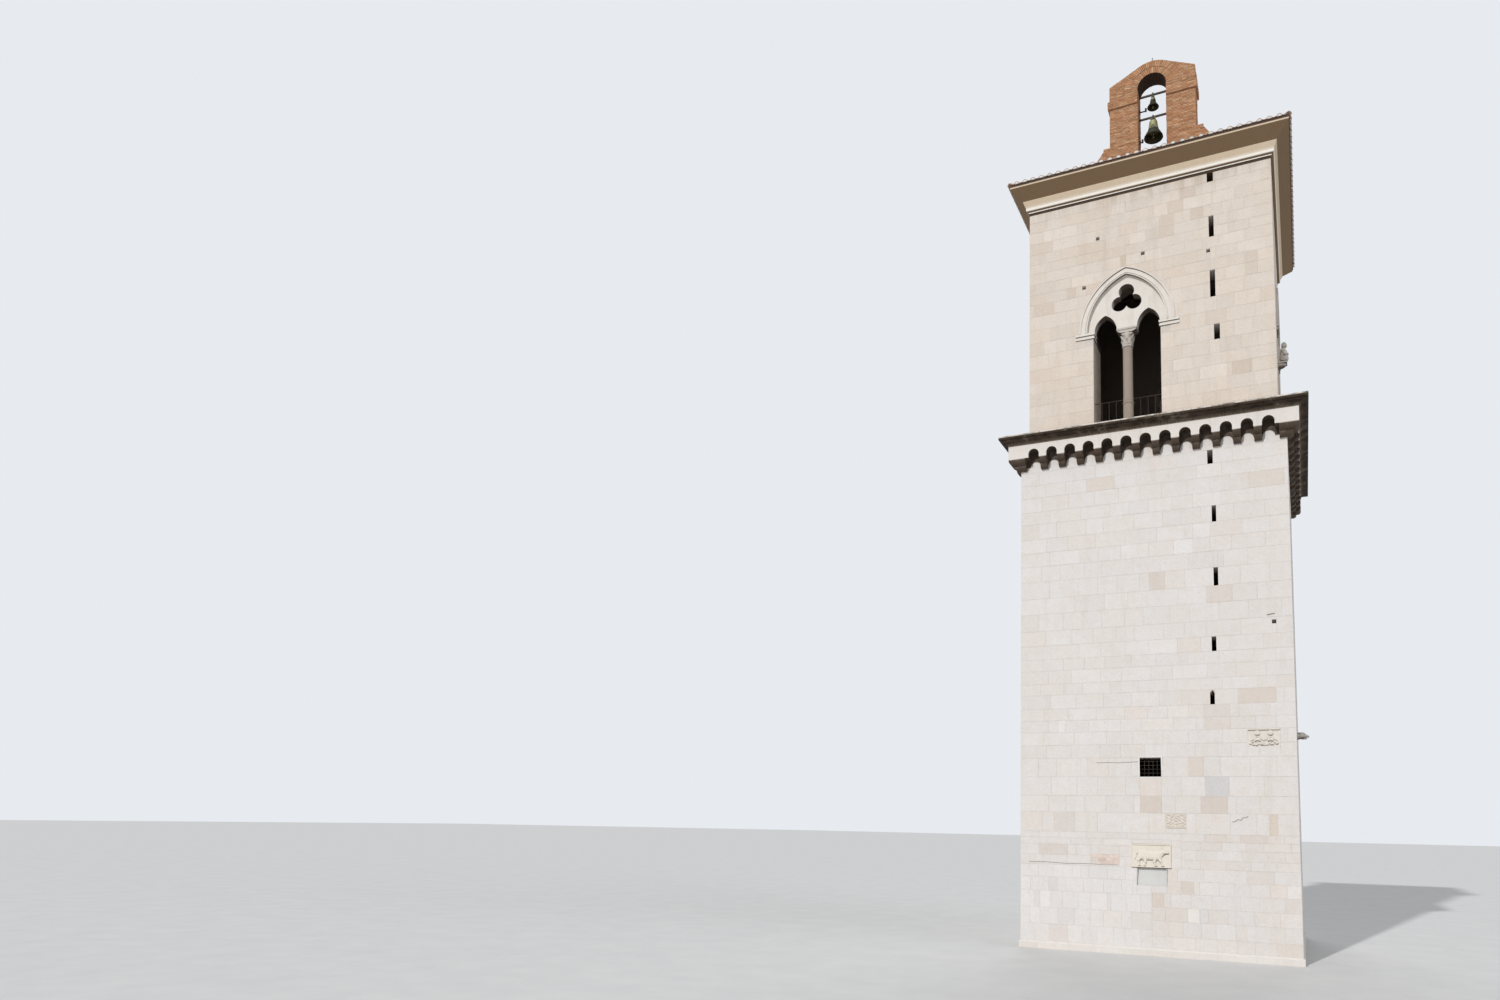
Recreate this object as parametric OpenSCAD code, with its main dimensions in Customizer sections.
// Square stone bell tower: a tall shaft, a table of little arches on corbels, a belfry stage
// with a two-light window on each side, a low tiled roof and a brick bell-cote on the front wall.
// Millimetres, +Z up. The origin is the middle of the footprint, at the ground.
// The front faces -Y. Sides are numbered 0 front, 1 right, 2 back, 3 left.

/* [Shaft] */
// Width of the shaft, the same on each side
shaft_w = 10400; // [10000:50:11000]
// Height of the shaft walls above the plinth
shaft_wall_h = 20780; // [20200:20:22000]
// Thickness of the shaft walls
shaft_wall_t = 2000; // [1900:20:2300]
// Height of the plinth
plinth_h = 300; // [200:10:450]
// Projection of the plinth beyond the shaft walls
plinth_out = 60; // [30:5:120]
// Height of the chamfer on top of the plinth
plinth_chamfer = 60; // [30:5:90]

/* [Belfry] */
// Set-in of each belfry face from the shaft's face
belfry_inset = 280; // [220:10:340]
// Height of the belfry walls
belfry_wall_h = 10490; // [10200:10:11000]
// Thickness of the belfry walls
belfry_wall_t = 1500; // [1450:10:1600]
// Thickness of the belfry floor
floor_t = 250; // [180:10:320]

/* [Corbel table] */
// Number of little arches on each side
arch_count = 13; // [12:1:14]
// Clear width of a little arch
arch_w = 450; // [400:10:480]
// Height of a little arch's springing above the band's foot
arch_stilt = 135; // [80:5:180]
// Height of the band with the arches
band_h = 575; // [520:5:640]
// Projection of the band beyond the shaft
band_out = 441; // [410:1:470]
// Length of the solid corner on each face, from the shaft's corner
corner_len = 260; // [200:5:320]
// Radius of each of the two rounds of a corbel
corbel_r = 200; // [170:5:203]
// Height of the square fillet over each round of a corbel
corbel_fillet = 20; // [10:2:30]
// Inset of a corbel's sides from the pier between two arches
corbel_inset = 15; // [5:5:30]

/* [String cornice] */
// Height of the cornice over the corbel table
cornice_h = 365; // [330:5:400]
// Projection of the cornice beyond the band
cornice_out = 343; // [310:1:370]
// Thickness of the cornice's top slab
cornice_slab_t = 130; // [110:5:150]
// Radius of the hollow under the slab
cornice_cove_r = 200; // [160:5:210]

/* [Belfry window] */
// Distance of the window's axis from the middle of the wall
window_offset = 800; // [600:10:1000]
// Clear width between the jambs
window_w = 2750; // [2600:10:2900]
// Height of the springing above the foot of the belfry wall
spring_h = 4420; // [4200:10:4600]
// Radius of the pointed arch's inner edge
arch_r = 2430; // [2380:10:2500]
// Distance of each arch centre from the window's axis
arch_shift = 820; // [780:10:850]
// Set-back of the tracery slab from the wall's face
tracery_back = 70; // [50:10:140]
// Thickness of the tracery slab
tracery_t = 400; // [340:10:440]
// Clear width of one light at its springing
light_w = 930; // [900:5:945]
// Rise of one light's pointed head
light_rise = 700; // [640:10:740]
// Radius of one lobe of the trefoil
lobe_r = 320; // [290:5:330]
// Distance of each lobe from the trefoil's centre
lobe_out = 340; // [320:5:350]
// Height of the trefoil's centre above the springing
trefoil_h = 1270; // [1240:10:1320]
// Width of the hood mould
hood_w = 350; // [300:10:400]
// Projection of the hood mould
hood_out = 90; // [60:5:120]

/* [Window column] */
// Radius of the column shaft
column_r = 200; // [180:5:215]
// Radius of the drum that the shaft stands on
drum_r = 210; // [200:5:225]
// Height of the drum
drum_h = 870; // [800:10:940]
// Height of the ring mould and the step over the drum
base_ring_h = 300; // [240:10:340]
// Height of the capital's bell
capital_h = 620; // [560:10:680]
// Width of the abacus, the same as the foot of the tracery between the lights
abacus_w = 830; // [800:5:850]
// Height of the abacus
abacus_h = 210; // [180:5:240]
// Depth of the abacus
abacus_d = 520; // [460:10:600]
// Radius of the capital's bell at its top
capital_r = 245; // [235:5:255]

/* [Imposts and railing] */
// Height of an impost
impost_h = 250; // [220:5:280]
// Projection of an impost from the wall and into the opening
impost_out = 70; // [50:5:90]
// Length of an impost along the wall, from the jamb
impost_len = 740; // [700:10:760]
// Height of the window railing's top bar above the floor
rail_h = 1120; // [1050:10:1180]
// Radius of the railing's bars
rail_r = 14; // [10:1:18]
// Height of the railing's foot bar above the floor
rail_foot_h = 150; // [100:10:200]
// Number of upright bars in each light
rail_posts = 3; // [2:1:5]

/* [Crown and roof] */
// Height of the crown cornice
crown_h = 980; // [900:10:1060]
// Projection of the crown cornice
crown_out = 708; // [660:1:750]
// Depth of the crown cornice's seat on the wall
crown_seat = 350; // [300:10:400]
// Radius of the quarter round at the crown's foot
crown_round_r = 97; // [85:1:105]
// Projection of the top edge of the band over the quarter round
crown_band_out = 250; // [220:5:280]
// Height of that edge above the wall top
crown_band_h = 480; // [440:5:520]
// Height of the plain drip edge on top of the crown
crown_drip_h = 80; // [60:5:100]
// Overhang of the roof past the crown cornice
roof_over = 32; // [20:2:60]
// Height of the roof's upright edge
roof_edge_h = 60; // [40:5:90]
// Slope of the roof, in degrees
roof_slope = 17; // [15:0.5:19]
// Width of the roof's bearing on the crown
roof_seat = 760; // [700:10:800]
// Number of rows of cover tiles up each slope
tile_rows = 43; // [41:1:45]
// Radius of a row of cover tiles
tile_r = 80; // [70:1:90]
// Thickness of the tiles between the rows
tile_t = 25; // [20:1:40]
// Overhang of the tiles past the roof's edge
tile_over = 60; // [40:5:80]
// Width of the open line along each hip, where the tiles of two slopes meet
hip_gap = 30; // [15:5:60]

/* [Bell-cote] */
// Distance of the cote's axis from the middle of the front wall
cote_offset = 300; // [200:10:400]
// Width of the cote across its piers
cote_w = 3560; // [3460:10:3660]
// Thickness of the cote
cote_t = 750; // [700:10:800]
// Set-back of the cote from the belfry wall's face
cote_back = 450; // [430:10:520]
// Clear width of the cote's opening
cote_gap_w = 1190; // [1140:10:1240]
// Height of the opening's sill above the wall top
cote_sill_h = 1680; // [1620:10:1720]
// Height of the stepped foot's top above the wall top
cote_foot_h = 2500; // [2440:10:2560]
// Spread of the foot beyond a pier at its top
foot_step = 280; // [240:10:320]
// Spread of the foot beyond a pier at the roof
foot_spread = 600; // [560:10:660]
// Height of the sloping side of the foot
foot_slope_h = 460; // [420:10:500]
// Height of the upright course on top of the foot
foot_step_h = 110; // [90:5:130]
// Height of the joint between the piers and the head, above the wall top
cote_joint_h = 4600; // [4560:10:4640]
// Height of the projecting course at the top of the piers
course_h = 350; // [300:10:400]
// Projection of that course
course_out = 70; // [50:5:90]
// Height of the cote arch's centre above the joint
cote_spring = 260; // [220:10:300]
// Radius of the rounded top of the cote
cote_top_r = 1170; // [1140:10:1200]
// Slope of the cote's shoulders, in degrees
cote_slope = 25.5; // [24:0.5:27]

/* [Bells] */
// Distance of the upper bar under the cote arch's centre
upper_bar_drop = 160; // [120:10:200]
// Distance of the lower bar under the cote arch's centre
lower_bar_drop = 1210; // [1150:10:1270]
// Width of a bell bar
bar_w = 60; // [50:2:70]
// Height of a bell bar
bar_h = 70; // [60:2:80]
// Radius of the small bell's mouth
small_bell_r = 245; // [220:5:260]
// Height of the small bell
small_bell_h = 430; // [390:5:450]
// Radius of the large bell's mouth
large_bell_r = 400; // [370:5:420]
// Height of the large bell
large_bell_h = 800; // [740:5:830]
// Height of the crown loops between a bell and its bar
crown_loop_h = 130; // [100:5:150]
// Thickness of the bells at the lip
bell_lip_t = 34; // [28:1:40]

/* [Wall pieces] */
// Width of the square window
square_w = 805; // [760:5:850]
// Height of the square window
square_h = 745; // [700:5:800]
// Height of the square window's sill above the ground
square_sill = 6790; // [6700:10:6900]
// Depth of a carved panel's bed in the wall
panel_bed = 80; // [60:5:120]
// Projection of the quadruped panel beyond the wall
panel_out = 40; // [20:5:60]
// Set-back of the grey slab behind the wall's face
slab_sunk = 90; // [60:5:120]
// Projection of the carved head on the right wall
head_out = 420; // [360:10:460]
// Projection of the bracket figure beside the right window
bracket_out = 420; // [360:10:460]

/* [Hidden] */
$fn = 48;

// Levels and half-widths
shaft_half = shaft_w / 2;
belfry_w = shaft_w - 2 * belfry_inset;
belfry_half = belfry_w / 2;
belfry_foot_z = plinth_h + shaft_wall_h;
band_top_z = belfry_foot_z - cornice_h;
band_foot_z = band_top_z - band_h;
belfry_top_z = belfry_foot_z + belfry_wall_h;
floor_z = belfry_foot_z + floor_t;
spring_z = belfry_foot_z + spring_h;
crown_top_z = belfry_top_z + crown_h;
roof_half = belfry_half + crown_out + roof_over;
arch_pitch = (shaft_w - 2 * corner_len) / arch_count;
corbel_w = arch_pitch - arch_w - 2 * corbel_inset;
cote_front_y = -belfry_half + cote_back;
cote_mid_y = cote_front_y + cote_t / 2;
cote_joint_z = belfry_top_z + cote_joint_h;
cote_foot_z = belfry_top_z + cote_foot_h;
cote_arch_z = cote_joint_z + cote_spring;
upper_bar_z = cote_arch_z - upper_bar_drop;
lower_bar_z = cote_arch_z - lower_bar_drop;
column_y = -belfry_half + tracery_back + tracery_t / 2;
jamb = window_w / 2;
column_top = spring_z - floor_z - abacus_h - capital_h;
square_axis = 40;
head_r = 170;
head_tail = 300;
head_clear = 30;
cove_fillet = 30;
cornice_lip = 20;
trefoil_eye = 0.55;
far = 60000;

// Slits of the stair line: distance right of the middle, sill height, width and height
SHAFT_SLITS = [[2400, 19040, 200, 560], [2500, 16690, 160, 650], [2520, 14150, 165, 720],
    [2400, 11590, 165, 570], [2300, 9540, 165, 440]];
BELFRY_SLITS = [[2610, 31080, 240, 400], [2620, 28680, 190, 900], [2625, 26100, 200, 1140],
    [2750, 24270, 220, 650]];
slit_flare = 420;

// Blind scaffold holes in the front: distance right of the middle, and height
SHAFT_HOLES = [[4550, 12600]];
BELFRY_HOLES = [[2485, 28100], [-100, 28600], [-1960, 29700], [-2550, 27600]];
hole_w = 150;
hole_depth = 350;
slit_point = 0.7;

// Panels in the front wall: left edge, foot, width and height
QUADRUPED = [-795, 3310, 1490, 900];
SLAB = [-600, 2640, 1145, 670];
FIGURES = [3510, 7900, 1140, 680];
PATTERN = [510, 4820, 750, 575];

// Carvings of the right side: distance back from the tower's middle, and height
HEAD = [shaft_wall_t + head_r + head_clear - shaft_half, 8450];
BRACKET = [-2400, 24300];

stone = [0.86, 0.83, 0.78];
slab_grey = [0.74, 0.74, 0.73];
brown_stone = [0.36, 0.31, 0.26];
plaster = [0.80, 0.72, 0.58];
brick = [0.72, 0.45, 0.30];
bronze = [0.56, 0.52, 0.34];
iron = [0.18, 0.17, 0.16];

// Puts a shape drawn on the front face onto a numbered side
module on_side(side) rotate(90 * side) children();

// Runs a section along the face: its first axis points out of the wall, its second one up
module run(length) rotate([90, 0, -90]) linear_extrude(length, center = true) children();

// Keeps what lies in front of both diagonals, so that four runs meet in mitres
module mitre(half, out, seat) {
    intersection() {
        children();
        linear_extrude(far)
            polygon([[-half - out, -half - out], [half + out, -half - out],
                [half - seat, -half + seat], [-half + seat, -half + seat]]);
    }
}

// A wall of one side: the front and back run past the corners, the others fit between them
module wall(side, width, thickness, height, foot_z) {
    length = side % 2 == 0 ? width : width - 2 * thickness;
    on_side(side)
        translate([-length / 2, -width / 2, foot_z])
            cube([length, thickness, height]);
}

// A slit through the front wall that widens inwards
module slit(face_y, thickness, place) {
    half = place[2] / 2;
    translate([place[0], face_y, place[1]])
        linear_extrude(place[3])
            polygon([[-half, -1], [half, -1], [half, 0], [half + slit_flare, thickness],
                [half + slit_flare, thickness + 1], [-half - slit_flare, thickness + 1],
                [-half - slit_flare, thickness], [-half, 0]]);
}

// A pointed head over a slit, cut through the wall at its outer width
module slit_head(face_y, thickness, place) {
    translate([place[0], face_y + thickness + 1, place[1] + place[3]])
        rotate([90, 0, 0])
            linear_extrude(thickness + 2)
                polygon([[-place[2] / 2, -1], [place[2] / 2, -1], [place[2] / 2, 0],
                    [0, place[2] * slit_point], [-place[2] / 2, 0]]);
}

// The slits of one shaft wall: the lowest has a pointed head
module shaft_slits() {
    for (place = SHAFT_SLITS)
        slit(-shaft_half, shaft_wall_t, place);
    slit_head(-shaft_half, shaft_wall_t, SHAFT_SLITS[4]);
}

// Outline of a pointed arch standing on its springing line
module pointed(radius, shift) {
    intersection() {
        translate([-shift, 0])
            circle(radius, $fn = 240);
        translate([shift, 0])
            circle(radius, $fn = 240);
        translate([-radius, 0])
            square([2 * radius, radius]);
    }
}

// Stands an outline of the window up, from one depth behind the wall's face to another
module window_solid(from_y, to_y) {
    translate([-window_offset, -belfry_half + to_y, spring_z])
        rotate([90, 0, 0])
            linear_extrude(to_y - from_y)
                children();
}

// Blind square holes in a face
module scaffold_holes(face_y, places) {
    for (place = places)
        translate([place[0] - hole_w / 2, face_y - 1, place[1] - hole_w / 2])
            cube([hole_w, hole_depth + 1, hole_w]);
}

// A panel's stone, from its face to the back of its bed
module panel(place, proud, bed) {
    translate([place[0], -shaft_half - proud, place[1]])
        cube([place[2], bed + proud, place[3]]);
}

module panel_beds() {
    for (place = [QUADRUPED, FIGURES, PATTERN])
        panel(place, 1, panel_bed);
    panel(SLAB, 1, slab_sunk + panel_bed);
}

// A block that narrows evenly upwards, square in plan
module tapered_square(low_half, high_half, height) {
    intersection_for(turn = [0, 90])
        rotate([90, 0, turn])
            linear_extrude(2 * low_half, center = true)
                polygon([[-low_half, 0], [low_half, 0], [high_half, height],
                    [-high_half, height]]);
}

module plinth() {
    inner = shaft_w - 2 * shaft_wall_t;
    outer_half = shaft_half + plinth_out;
    color(stone)
        difference() {
            union() {
                translate([-outer_half, -outer_half, 0])
                    cube([2 * outer_half, 2 * outer_half, plinth_h - plinth_chamfer]);
                translate([0, 0, plinth_h - plinth_chamfer])
                    tapered_square(outer_half, shaft_half, plinth_chamfer);
            }
            translate([-inner / 2, -inner / 2, -1])
                cube([inner, inner, plinth_h + 2]);
        }
}

module shaft_wall(side) wall(side, shaft_w, shaft_wall_t, shaft_wall_h, plinth_h);

module shaft_wall_front() {
    color(stone)
        difference() {
            shaft_wall(0);
            shaft_slits();
            square_opening();
            panel_beds();
            scaffold_holes(-shaft_half, SHAFT_HOLES);
        }
}

module shaft_wall_right() {
    color(stone)
        difference() {
            shaft_wall(1);
            side_head_tail();
        }
}

module shaft_wall_back() {
    color(stone)
        difference() {
            shaft_wall(2);
            rotate(180)
                shaft_slits();
        }
}

module shaft_wall_left() color(stone) shaft_wall(3);

// The square window widens inwards on both sides and keeps its height
module square_opening() {
    slit(-shaft_half, shaft_wall_t, [-square_axis, square_sill, square_w, square_h]);
}

module quadruped_panel() color(stone) panel(QUADRUPED, panel_out, panel_bed);
module grey_slab() color(slab_grey) panel(SLAB, -slab_sunk, slab_sunk + panel_bed);
module figure_panel() color(stone) panel(FIGURES, 0, panel_bed);
module patterned_stone() color(stone) panel(PATTERN, 0, panel_bed);

// The tail that holds the carved head in the right wall
module side_head_tail() {
    translate([shaft_half - head_tail, HEAD[0] - head_r, HEAD[1] - head_r])
        cube([head_tail + 1, 2 * head_r, 2 * head_r]);
}

// A rough projecting carving: a drum, a neck and a rounded muzzle
module carved_lump(radius, out) {
    drum = out * 0.45;
    muzzle = radius * 0.6;
    cylinder(h = drum, r = radius);
    translate([0, 0, drum])
        cylinder(h = out - drum - muzzle, r1 = radius, r2 = muzzle);
    translate([0, 0, out - muzzle])
        sphere(muzzle);
}

module side_head() {
    color(stone) {
        translate([shaft_half - head_tail, HEAD[0] - head_r, HEAD[1] - head_r])
            cube([head_tail, 2 * head_r, 2 * head_r]);
        translate([shaft_half, HEAD[0], HEAD[1]])
            rotate([0, 90, 0])
                carved_lump(head_r, head_out);
    }
}

// Section of a corbel: two quarter rounds, each under a square fillet, hung from the band
module corbel_section() {
    tier_h = corbel_r + corbel_fillet;
    for (tier = [0, 1])
        translate([band_out - (tier + 1) * corbel_r, -tier * tier_h]) {
            translate([-(band_out - (tier + 1) * corbel_r), -tier_h])
                square([band_out - (tier + 1) * corbel_r, tier_h]);
            intersection() {
                translate([0, -corbel_fillet])
                    circle(corbel_r);
                translate([0, -tier_h])
                    square([corbel_r, corbel_r]);
            }
            translate([0, -corbel_fillet])
                square([corbel_r, corbel_fillet]);
        }
}

// One straight length of the corbel table, between the solid corners
module table_length() {
    length = arch_count * arch_pitch;
    difference() {
        translate([-length / 2, -shaft_half - band_out, band_foot_z])
            cube([length, band_out, band_h]);
        for (i = [0 : arch_count - 1])
            translate([(i - (arch_count - 1) / 2) * arch_pitch, -shaft_half + 1,
                band_foot_z + arch_stilt])
                rotate([90, 0, 0])
                    linear_extrude(band_out + 2) {
                        circle(arch_w / 2);
                        translate([-arch_w / 2, -arch_stilt - 1])
                            square([arch_w, arch_stilt + 1]);
                    }
    }
    for (i = [1 : arch_count - 1])
        translate([(i - arch_count / 2) * arch_pitch, -shaft_half, band_foot_z])
            run(corbel_w)
                corbel_section();
}

module corbel_table() {
    color(stone)
        for (side = [0 : 3])
            on_side(side)
                table_length();
}

// A face of the solid corner, drawn at the front's right end
module corner_face(section_length) {
    translate([shaft_half + (section_length - corner_len) / 2, -shaft_half, band_foot_z])
        run(section_length + corner_len)
            children();
}

module corner_corbels() {
    color(stone)
        for (side = [0 : 3])
            on_side(side) {
                difference() {
                    translate([shaft_half - corner_len, -shaft_half - band_out, band_foot_z])
                        cube([corner_len + band_out, corner_len + band_out, band_h]);
                    translate([0, -shaft_half, band_foot_z - 1])
                        cube([shaft_half, shaft_half, band_h + 2]);
                }
                corner_face(0)
                    corbel_section();
                mirror([1, 1, 0])
                    corner_face(0)
                        corbel_section();
                intersection() {
                    corner_face(band_out)
                        corbel_section();
                    mirror([1, 1, 0])
                        corner_face(band_out)
                            corbel_section();
                }
            }
}

// Section of the string cornice, measured out from the shaft's face and up from the band
module cornice_section() {
    cove_z = cornice_h - cornice_slab_t - cove_fillet;
    difference() {
        union() {
            square([band_out + cornice_lip, cornice_h]);
            square([band_out + cornice_lip + cornice_cove_r, cove_z]);
        }
        translate([band_out + cornice_lip + cornice_cove_r, cove_z - cornice_cove_r])
            circle(cornice_cove_r);
        translate([band_out + cornice_lip, -1])
            square([cornice_cove_r + 1, cove_z - cornice_cove_r + 1]);
    }
    translate([0, cove_z])
        square([band_out + cornice_lip + cornice_cove_r + cove_fillet, cove_fillet]);
    translate([0, cornice_h - cornice_slab_t])
        square([band_out + cornice_out, cornice_slab_t]);
}

module cornice_length(side) {
    on_side(side)
        mitre(shaft_half, band_out + cornice_out, 0)
            translate([0, -shaft_half, band_top_z])
                run(shaft_w + 2 * (band_out + cornice_out))
                    cornice_section();
}

module cornice_front_back() color(brown_stone) for (side = [0, 2]) cornice_length(side);
module cornice_sides() color(brown_stone) for (side = [1, 3]) cornice_length(side);

module belfry_floor() {
    inner = belfry_w - 2 * belfry_wall_t;
    color(stone)
        translate([-inner / 2, -inner / 2, belfry_foot_z])
            cube([inner, inner, floor_t]);
}

// The window's whole opening, from the floor's level up to the point of its arch
module window_cut() {
    translate([-window_offset - jamb, -belfry_half - 1, floor_z])
        cube([window_w, belfry_wall_t + 2, spring_z - floor_z + 1]);
    window_solid(-1, belfry_wall_t + 1)
        pointed(arch_r, arch_shift);
}

module belfry_wall(side) {
    color(stone)
        difference() {
            wall(side, belfry_w, belfry_wall_t, belfry_wall_h, belfry_foot_z);
            on_side(side)
                window_cut();
            if (side == 0) {
                scaffold_holes(-belfry_half, BELFRY_HOLES);
                for (place = BELFRY_SLITS)
                    slit(-belfry_half, belfry_wall_t, place);
            }
        }
}

module belfry_wall_front() belfry_wall(0);
module belfry_wall_right() belfry_wall(1);
module belfry_wall_back() belfry_wall(2);
module belfry_wall_left() belfry_wall(3);

// Outline of the tracery slab: two pointed lights under a trefoil
module tracery_outline() {
    light_half = light_w / 2;
    light_shift = (light_rise * light_rise - light_half * light_half) / light_w;
    difference() {
        pointed(arch_r, arch_shift);
        for (end = [-1, 1])
            translate([end * (abacus_w / 2 + light_half), 0])
                pointed(light_half + light_shift, light_shift);
        for (turn = [90, 210, 330])
            translate([0, trefoil_h])
                rotate(turn)
                    translate([lobe_out, 0])
                        circle(lobe_r);
        translate([0, trefoil_h])
            circle(lobe_out * trefoil_eye);
    }
}

// Four slabs, one in each belfry window
module window_tracery() {
    color(stone)
        for (side = [0 : 3])
            on_side(side)
                window_solid(tracery_back, tracery_back + tracery_t)
                    tracery_outline();
}

// Section of the hood mould, measured out from the arch's edge: a roll, a flat band, a groove and a roll
module hood_section() {
    roll = hood_out * 0.4;
    edge = 5;
    quirk = 8;
    groove = 45;
    band_from = 2 * (roll + edge) + quirk;
    band_to = hood_w - 2 * (roll + edge) - groove;
    square([hood_w, hood_out / 2]);
    translate([band_from, 0])
        square([band_to - band_from, hood_out * 0.8]);
    for (place = [roll + edge, hood_w - roll - edge])
        translate([place, hood_out - roll])
            circle(roll);
}

// One half of a hood: a full ring, cut at the springing and at the window's axis
module hood_half() {
    intersection() {
        translate([-arch_shift, 0, 0])
            rotate([90, 0, 0])
                rotate_extrude($fn = 240)
                    translate([arch_r, 0])
                        hood_section();
        translate([0, -2 * hood_out, 0])
            cube([arch_r + hood_w, 3 * hood_out, arch_r + hood_w]);
    }
}

module window_hoods() {
    color(stone)
        for (side = [0 : 3])
            on_side(side)
                translate([-window_offset, -belfry_half, spring_z])
                    for (end = [0, 1])
                        mirror([end, 0, 0])
                            hood_half();
}

// One step of an impost, drawn at the right jamb: a strip on the wall and one in the reveal
module impost_step(from_h, to_h, out) {
    translate([-out, -out, from_h])
        cube([impost_len + out, out, to_h - from_h]);
    translate([-out, -out, from_h])
        cube([out, tracery_back + tracery_t + out, to_h - from_h]);
}

// Two bands with a groove between them, cut back from the upper band's face
module window_imposts() {
    groove_foot = impost_h * 0.4;
    groove_top = impost_h * 0.6;
    lower_out = impost_out * 0.7;
    groove_out = impost_out * 0.3;
    color(stone)
        for (side = [0 : 3])
            on_side(side)
                for (end = [0, 1])
                    translate([-window_offset, -belfry_half, spring_z - impost_h])
                        mirror([end, 0, 0])
                            translate([jamb, 0, 0]) {
                                impost_step(0, groove_foot, lower_out);
                                impost_step(groove_foot, groove_top, groove_out);
                                impost_step(groove_top, impost_h, impost_out);
                            }
}

// Puts a piece of the window column at a height above the floor, on each side
module at_column(height) {
    for (side = [0 : 3])
        on_side(side)
            translate([-window_offset, column_y, floor_z + height])
                children();
}

// A drum, a ring mould on it and a step under the shaft
module column_bases() {
    ring_r = base_ring_h / 4;
    color(stone)
        at_column(0) {
            cylinder(h = drum_h, r = drum_r);
            translate([0, 0, drum_h])
                cylinder(h = 2 * ring_r, r = column_r);
            translate([0, 0, drum_h + ring_r])
                rotate_extrude()
                    translate([column_r - ring_r / 2, 0])
                        circle(ring_r * 0.9);
            translate([0, 0, drum_h + 2 * ring_r])
                cylinder(h = base_ring_h - 2 * ring_r, r = drum_r);
        }
}

module column_shafts() {
    color([0.70, 0.66, 0.62])
        at_column(drum_h + base_ring_h)
            cylinder(h = column_top - drum_h - base_ring_h, r = column_r);
}

// A ring at the neck, a bell that spreads upwards and an abacus that widens to the tracery's foot
module column_capitals() {
    neck = capital_h / 8;
    groove = 30;
    color(stone)
        at_column(column_top) {
            cylinder(h = capital_h, r = column_r);
            translate([0, 0, neck / 2])
                rotate_extrude()
                    translate([column_r - neck / 4, 0])
                        circle(neck * 0.45);
            translate([0, 0, capital_h / 2])
                cylinder(h = capital_h / 2, r1 = column_r, r2 = capital_r);
            translate([0, abacus_d / 2, capital_h])
                rotate([90, 0, 0])
                    linear_extrude(abacus_d)
                        polygon([[-capital_r, 0], [capital_r, 0],
                            [abacus_w / 2 - groove, abacus_h / 2 - groove],
                            [abacus_w / 2 - groove, abacus_h / 2],
                            [abacus_w / 2, abacus_h / 2], [abacus_w / 2, abacus_h],
                            [-abacus_w / 2, abacus_h], [-abacus_w / 2, abacus_h / 2],
                            [groove - abacus_w / 2, abacus_h / 2],
                            [groove - abacus_w / 2, abacus_h / 2 - groove]]);
        }
}

// Bars of the railing in one light, from the jamb to the column
module light_railing() {
    length = jamb - drum_r;
    for (height = [rail_foot_h, rail_h])
        translate([drum_r, 0, height])
            rotate([0, 90, 0])
                cylinder(h = length, r = rail_r, $fn = 16);
    for (i = [1 : rail_posts])
        translate([drum_r + i * length / (rail_posts + 1), 0, 0])
            cylinder(h = rail_h, r = rail_r * 0.8, $fn = 16);
}

module window_railings() {
    color(iron)
        at_column(0)
            for (end = [0, 1])
                mirror([end, 0, 0])
                    light_railing();
}

// A small standing half-figure on a bracket: foot, body, shoulders and head
module bracket_figure() {
    shoulder_r = bracket_out * 0.38;
    foot_r = shoulder_r * 0.7;
    crown_r = bracket_out * 0.27;
    back_h = 700;
    back_foot = -360;
    body_foot = -250;
    body_h = 400;
    chest = body_foot + body_h;
    color(stone)
        translate([belfry_half, BRACKET[0], BRACKET[1]]) {
            translate([0, -foot_r, back_foot])
                cube([shoulder_r, 2 * foot_r, back_h]);
            translate([bracket_out - shoulder_r, 0, body_foot])
                cylinder(h = body_h, r1 = foot_r, r2 = shoulder_r);
            translate([bracket_out - shoulder_r, 0, chest])
                sphere(shoulder_r);
            translate([bracket_out - shoulder_r, 0, chest + shoulder_r + crown_r * 0.55])
                sphere(crown_r);
        }
}

// Section of the crown cornice, measured out from the wall's face and up from the wall's top:
// a fillet, a quarter round, a steep band and a sloping soffit out to the drip edge
module crown_section() {
    fillet = 50;
    edge = 55;
    round_z = fillet + crown_round_r;
    round_u = 40;
    tuck = 12;
    translate([-crown_seat, 0])
        square([crown_seat, crown_h]);
    square([round_u, round_z]);
    intersection() {
        translate([round_u, round_z])
            circle(crown_round_r);
        translate([round_u, fillet])
            square(crown_round_r);
    }
    translate([0, round_z])
        square([round_u + crown_round_r, edge]);
    polygon([[0, fillet], [0, crown_h], [crown_out, crown_h], [crown_out, crown_h - crown_drip_h],
        [crown_band_out, crown_band_h], [round_u + crown_round_r - tuck, round_z + edge],
        [round_u, round_z]]);
}

module crown_length(side) {
    on_side(side)
        mitre(belfry_half, crown_out, crown_seat)
            translate([0, -belfry_half, belfry_top_z])
                run(belfry_w + 2 * crown_out)
                    crown_section();
}

module crown_front_back() color(plaster) for (side = [0, 2]) crown_length(side);
module crown_sides() color(plaster) for (side = [1, 3]) crown_length(side);

module roof() {
    inner_half = roof_half - roof_seat;
    color([0.74, 0.55, 0.47])
        translate([0, 0, crown_top_z])
            difference() {
                union() {
                    translate([-roof_half, -roof_half, 0])
                        cube([2 * roof_half, 2 * roof_half, roof_edge_h]);
                    translate([0, 0, roof_edge_h])
                        tapered_square(roof_half, 0, roof_half * tan(roof_slope));
                }
                tapered_square(inner_half, 0, inner_half * tan(roof_slope));
                cote_notch();
            }
}

// The place of the bell-cote's foot in the roof
module cote_notch() {
    translate([cote_offset - cote_w / 2 - foot_spread, cote_front_y, -1])
        cube([cote_w + 2 * foot_spread, cote_t, cote_foot_h]);
}

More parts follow.
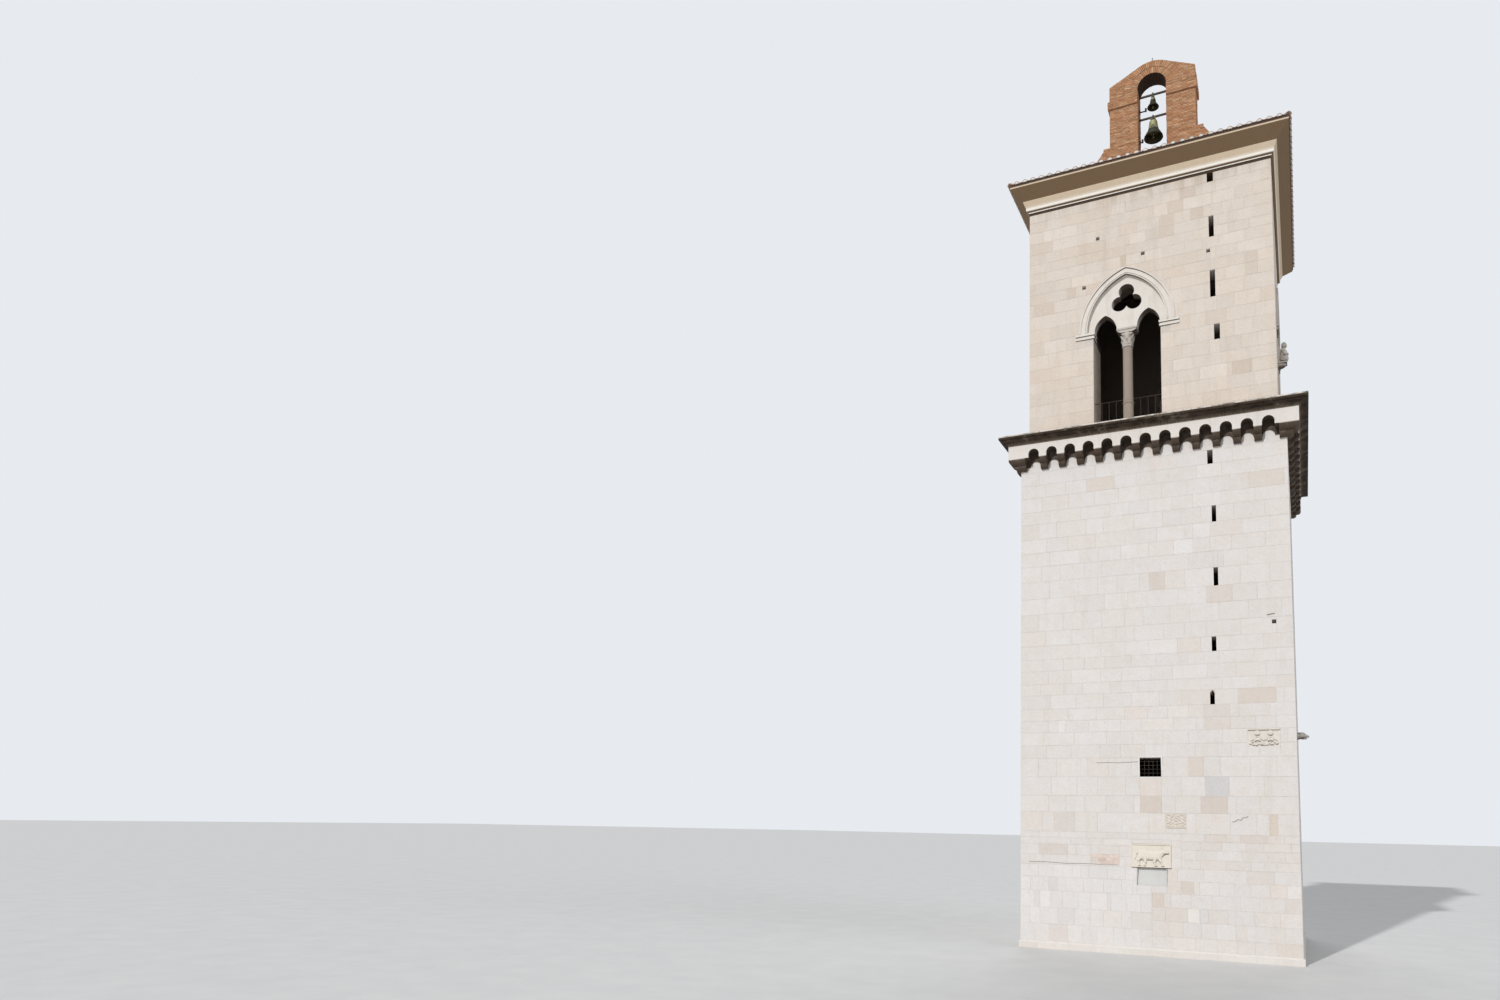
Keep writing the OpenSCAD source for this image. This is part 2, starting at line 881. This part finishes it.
// The tiles of one slope: rows of half-round cover tiles over a thin bed, cut at the hips
module tile_slope() {
    reach = roof_half + tile_over;
    length = reach / cos(roof_slope);
    pitch = 2 * roof_half / tile_rows;
    back = hip_gap / sqrt(2);
    intersection() {
        translate([0, -reach, roof_edge_h - tile_over * tan(roof_slope)])
            rotate([90 + roof_slope, 0, 0])
                translate([0, 0, -length])
                    linear_extrude(length) {
                        translate([-reach, 0])
                            square([2 * reach, tile_t]);
                        intersection() {
                            for (i = [0 : tile_rows])
                                translate([(i - tile_rows / 2) * pitch, 0])
                                    circle(tile_r);
                            translate([-reach, 0])
                                square([2 * reach, tile_r]);
                        }
                    }
        translate([0, 0, -crown_h])
            linear_extrude(far)
                polygon([[0, -back], [far, -far - back], [-far, -far - back]]);
    }
}

module roof_tiles() {
    color([0.74, 0.55, 0.47])
        translate([0, 0, crown_top_z])
            for (side = [0 : 3])
                difference() {
                    on_side(side)
                        tile_slope();
                    cote_notch();
                }
}

// Stands an outline of the bell-cote up, drawn from its axis and the wall's top
module cote_solid() {
    translate([cote_offset, cote_front_y + cote_t, belfry_top_z])
        rotate([90, 0, 0])
            linear_extrude(cote_t)
                children();
}

module cote_foot() {
    roof_half_w = cote_w / 2 + foot_spread;
    top_half_w = cote_w / 2 + foot_step;
    step_foot = cote_foot_h - foot_step_h;
    slope_foot = step_foot - foot_slope_h;
    color(brick)
        cote_solid()
            difference() {
                polygon([[-roof_half_w, 0], [roof_half_w, 0], [roof_half_w, slope_foot],
                    [top_half_w, step_foot], [top_half_w, cote_foot_h],
                    [-top_half_w, cote_foot_h], [-top_half_w, step_foot],
                    [-roof_half_w, slope_foot]]);
                translate([-cote_gap_w / 2, cote_sill_h])
                    square([cote_gap_w, cote_foot_h]);
            }
}

module cote_pier(end) {
    width = (cote_w - cote_gap_w) / 2;
    color(brick)
        translate([cote_offset, cote_mid_y, cote_foot_z])
            mirror([end, 0, 0])
                translate([cote_gap_w / 2, -cote_t / 2, 0]) {
                    cube([width, cote_t, cote_joint_h - cote_foot_h - course_h]);
                    translate([0, -course_out, cote_joint_h - cote_foot_h - course_h])
                        cube([width + course_out, cote_t + 2 * course_out, course_h]);
                }
}

module cote_pier_left() cote_pier(1);
module cote_pier_right() cote_pier(0);

module cote_head() {
    half = cote_w / 2;
    ridge = cote_top_r / cos(cote_slope);
    color(brick)
        cote_solid()
            difference() {
                union() {
                    translate([0, cote_joint_h])
                        intersection() {
                            translate([-half, 0])
                                square([cote_w, ridge + cote_spring]);
                            polygon([[-half, 0], [half, 0],
                                [half, cote_spring + ridge - half * tan(cote_slope)],
                                [cote_top_r * sin(cote_slope),
                                    cote_spring + cote_top_r * cos(cote_slope)],
                                [-cote_top_r * sin(cote_slope),
                                    cote_spring + cote_top_r * cos(cote_slope)],
                                [-half, cote_spring + ridge - half * tan(cote_slope)]]);
                        }
                    translate([0, cote_joint_h + cote_spring])
                        intersection() {
                            circle(cote_top_r, $fn = 96);
                            translate([-half, 0])
                                square([cote_w, cote_top_r]);
                        }
                }
                translate([0, cote_joint_h + cote_spring])
                    circle(cote_gap_w / 2);
                translate([-cote_gap_w / 2, cote_joint_h - 1])
                    square([cote_gap_w, cote_spring + 1]);
            }
}

module bell_bar(height) {
    color(iron)
        translate([cote_offset - cote_gap_w / 2, cote_mid_y - bar_w / 2, height])
            cube([cote_gap_w, bar_w, bar_h]);
}

module upper_bell_bar() bell_bar(upper_bar_z);
module lower_bell_bar() bell_bar(lower_bar_z);

// Half section of a bell: sound bow, waist and shoulder outside, and the hollow inside
module bell(radius, height, top_z) {
    steps = 10;
    flare = 1.9;
    shoulder = radius * 0.42;
    dome_r = shoulder * 0.7;
    shoulder_h = height * 0.9;
    hollow_h = height * 0.86;
    lip = bell_lip_t * 1.15;
    thinning = bell_lip_t * 0.45;
    outer = [for (i = [0 : steps]) let (s = i / steps)
        [shoulder + (radius - shoulder) * pow(1 - s, flare), shoulder_h * s]];
    inner = [for (i = [steps : -1 : 0]) let (s = i / steps)
        [shoulder + (radius - shoulder) * pow(1 - s, flare) - lip + thinning * s,
            hollow_h * s]];
    translate([cote_offset, cote_mid_y, top_z - height])
        rotate_extrude()
            polygon(concat(outer, [[dome_r, height], [0, height], [0, shoulder_h]], inner));
}

module small_bell() color(bronze) bell(small_bell_r, small_bell_h, upper_bar_z - crown_loop_h);
module large_bell() color(bronze) bell(large_bell_r, large_bell_h, lower_bar_z - crown_loop_h);

// The straps that hang a bell from its bar, with the plate over the bar
module loops(bar_z) {
    strap = 30;
    translate([cote_offset, cote_mid_y, bar_z])
        for (end = [0, 1])
            mirror([0, end, 0]) {
                translate([-strap, bar_w / 2, -crown_loop_h])
                    cube([2 * strap, strap, crown_loop_h + bar_h + strap]);
                translate([-strap, 0, bar_h])
                    cube([2 * strap, bar_w / 2, strap]);
            }
}

module bell_loops() color(iron) for (bar_z = [upper_bar_z, lower_bar_z]) loops(bar_z);

// A striker: an arm from the jamb to its hammer beside the bell's lip
module striker(lip_r, lip_z) {
    hammer_r = 40;
    hammer_x = cote_gap_w / 2 - lip_r - hammer_r - 20;
    plate = [60, 80, 160];
    arm = 40;
    drop = 60;
    translate([cote_offset - cote_gap_w / 2, cote_mid_y, lip_z - hammer_r]) {
        translate([0, -plate[1] / 2, -2 * drop])
            cube(plate);
        translate([plate[0], -arm / 2, -drop])
            cube([hammer_x - plate[0], arm, arm]);
        translate([hammer_x, 0, -drop])
            cylinder(h = drop + 2 * hammer_r, r = hammer_r);
    }
}

module small_striker() {
    color(iron)
        striker(small_bell_r, upper_bar_z - crown_loop_h - small_bell_h);
}

module large_striker() {
    color(iron)
        striker(large_bell_r, lower_bar_z - crown_loop_h - large_bell_h);
}

module cote_rod() {
    rod_h = 450;
    rod_r = 15;
    color(iron)
        translate([cote_offset, cote_mid_y, cote_arch_z + cote_top_r])
            cylinder(h = rod_h, r = rod_r, $fn = 16);
}

plinth();
shaft_wall_front();
shaft_wall_right();
shaft_wall_back();
shaft_wall_left();
quadruped_panel();
grey_slab();
figure_panel();
patterned_stone();
side_head();
corbel_table();
corner_corbels();
cornice_front_back();
cornice_sides();
belfry_floor();
belfry_wall_front();
belfry_wall_right();
belfry_wall_back();
belfry_wall_left();
window_tracery();
window_hoods();
window_imposts();
column_bases();
column_shafts();
column_capitals();
window_railings();
bracket_figure();
crown_front_back();
crown_sides();
roof();
roof_tiles();
cote_foot();
cote_pier_left();
cote_pier_right();
cote_head();
upper_bell_bar();
lower_bell_bar();
small_bell();
large_bell();
bell_loops();
small_striker();
large_striker();
cote_rod();
